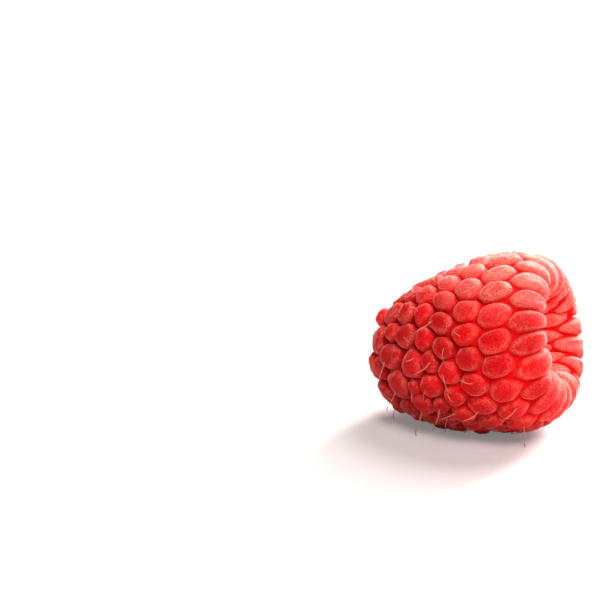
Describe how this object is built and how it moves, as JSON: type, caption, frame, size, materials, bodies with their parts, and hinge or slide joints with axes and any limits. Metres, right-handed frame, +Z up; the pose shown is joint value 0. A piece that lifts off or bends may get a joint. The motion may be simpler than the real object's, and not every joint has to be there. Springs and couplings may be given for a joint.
{
  "type": "raspberry",
  "caption": "Picked red raspberry lying on its side: a thimble of fused drupelets round the open hollow that its core left.",
  "frame": {"origin": "on the surface that the berry lies on, under the middle of its bounding box", "axes": "+Z up from the surface; +X from the blunt tip towards the open mouth, seen from above"},
  "size_m": [0.0226, 0.0196, 0.0198],
  "materials": {
    "flesh": "velvety red flesh with a pale bloom of fine down"
  },
  "bodies": {
    "root": {"raspberry": "flesh"}
  },
  "joints": []
}
